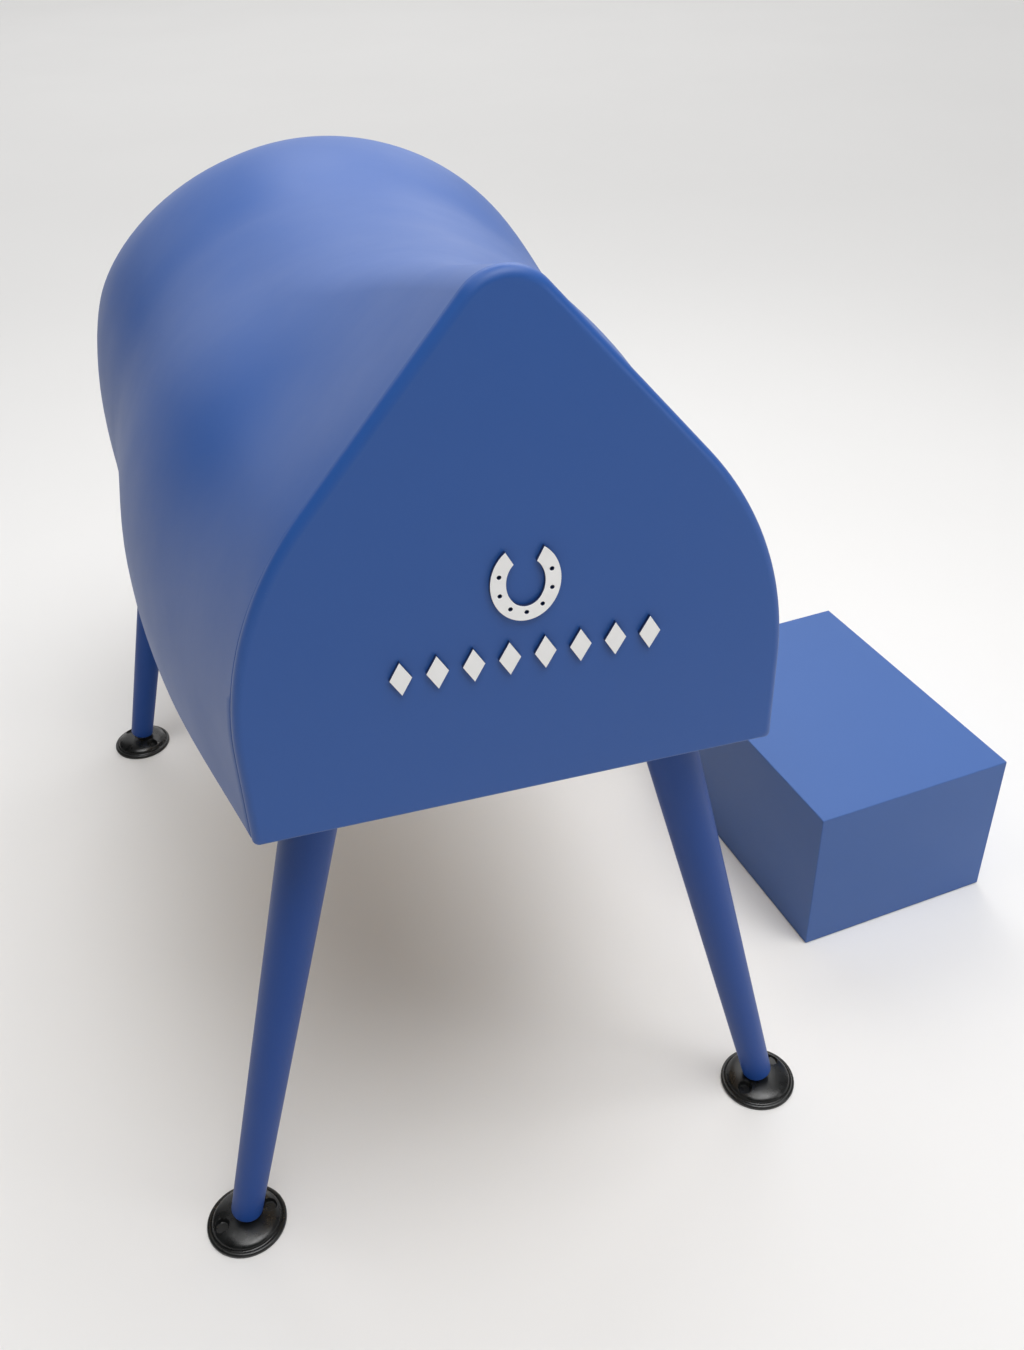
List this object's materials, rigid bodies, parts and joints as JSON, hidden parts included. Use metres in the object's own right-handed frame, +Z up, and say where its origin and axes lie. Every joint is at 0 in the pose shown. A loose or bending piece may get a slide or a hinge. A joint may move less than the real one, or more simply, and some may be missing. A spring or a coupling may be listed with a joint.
{
  "type": "saddle horse with mounting step",
  "caption": "Four-legged saddle display stand: moulded horse-back body on splayed legs with tilting rubber foot pads, with a loose box step beside it.",
  "frame": {"origin": "on the floor under the middle of the body", "axes": "+X across the body towards the step, +Y from the withers to the rump, +Z up"},
  "size_m": [1.3333, 1.284, 1.2],
  "materials": {
    "lacquer_body": "satin blue lacquer on glass-fibre moulding",
    "lacquer_leg": "satin blue lacquer on turned hardwood",
    "lacquer_step": "satin blue lacquer on board",
    "plywood": "bare birch plywood",
    "timber": "planed softwood",
    "zinc_steel": "zinc plated",
    "brass": "turned",
    "nylon": "moulded",
    "rubber": "semi-gloss black rubber",
    "badge_white": "raised white plastic"
  },
  "bodies": {
    "stand": {"body_shell": "lacquer_body", "front_panel": "lacquer_body", "rear_panel": "lacquer_body", "front_former": "plywood", "middle_former": "plywood", "rear_former": "plywood", "base_board": "plywood", "spine_beam": "timber", "front_bearer": "timber", "rear_bearer": "timber", "front_panel_screws": "zinc_steel", "rear_panel_screws": "zinc_steel", "plate_screws": "zinc_steel", "badge_horseshoe": "badge_white", "badge_lozenges": "badge_white", "leg_plate_fl": "zinc_steel", "leg_plate_fr": "zinc_steel", "leg_plate_rl": "zinc_steel", "leg_plate_rr": "zinc_steel", "hanger_bolt_fl": "zinc_steel", "hanger_bolt_fr": "zinc_steel", "hanger_bolt_rl": "zinc_steel", "hanger_bolt_rr": "zinc_steel", "leg_fl": "lacquer_leg", "leg_fr": "lacquer_leg", "leg_rl": "lacquer_leg", "leg_rr": "lacquer_leg", "leg_insert_fl": "brass", "leg_insert_fr": "brass", "leg_insert_rl": "brass", "leg_insert_rr": "brass"},
    "stud_fl": {"ball_stud_fl": "zinc_steel"},
    "stud_fr": {"ball_stud_fr": "zinc_steel"},
    "stud_rl": {"ball_stud_rl": "zinc_steel"},
    "stud_rr": {"ball_stud_rr": "zinc_steel"},
    "foot_fl": {"foot_socket_fl": "nylon", "foot_pad_fl": "rubber"},
    "foot_fr": {"foot_socket_fr": "nylon", "foot_pad_fr": "rubber"},
    "foot_rl": {"foot_socket_rl": "nylon", "foot_pad_rl": "rubber"},
    "foot_rr": {"foot_socket_rr": "nylon", "foot_pad_rr": "rubber"},
    "step": {"step_top": "lacquer_step", "step_front": "lacquer_step", "step_back": "lacquer_step", "step_left": "lacquer_step", "step_right": "lacquer_step", "step_corner_blocks": "timber", "step_screws": "zinc_steel", "step_glides": "rubber"}
  },
  "joints": [
    {"name": "level_fl", "type": "slide", "parent": "stand", "child": "stud_fl", "axis": [-0.247, 0, -0.969], "range_m": [0, 0.012]},
    {"name": "level_fr", "type": "slide", "parent": "stand", "child": "stud_fr", "axis": [0.247, 0, -0.969], "range_m": [0, 0.012]},
    {"name": "level_rl", "type": "slide", "parent": "stand", "child": "stud_rl", "axis": [-0.247, 0, -0.969], "range_m": [0, 0.012]},
    {"name": "level_rr", "type": "slide", "parent": "stand", "child": "stud_rr", "axis": [0.247, 0, -0.969], "range_m": [0, 0.012]},
    {"name": "tilt_fl", "type": "hinge", "parent": "stud_fl", "child": "foot_fl", "pos_m": [-0.352, -0.527, 0.013], "axis": [0, 1, 0], "range_deg": [-5, 34]},
    {"name": "tilt_fr", "type": "hinge", "parent": "stud_fr", "child": "foot_fr", "pos_m": [0.352, -0.527, 0.013], "axis": [0, -1, 0], "range_deg": [-5, 34]},
    {"name": "tilt_rl", "type": "hinge", "parent": "stud_rl", "child": "foot_rl", "pos_m": [-0.429, 0.53, 0.013], "axis": [0, 1, 0], "range_deg": [-5, 34]},
    {"name": "tilt_rr", "type": "hinge", "parent": "stud_rr", "child": "foot_rr", "pos_m": [0.429, 0.53, 0.013], "axis": [0, -1, 0], "range_deg": [-5, 34]},
    {"name": "step_place", "type": "slide", "parent": "stand", "child": "step", "axis": [1, 0, 0], "range_m": [-0.15, 0.35]}
  ]
}
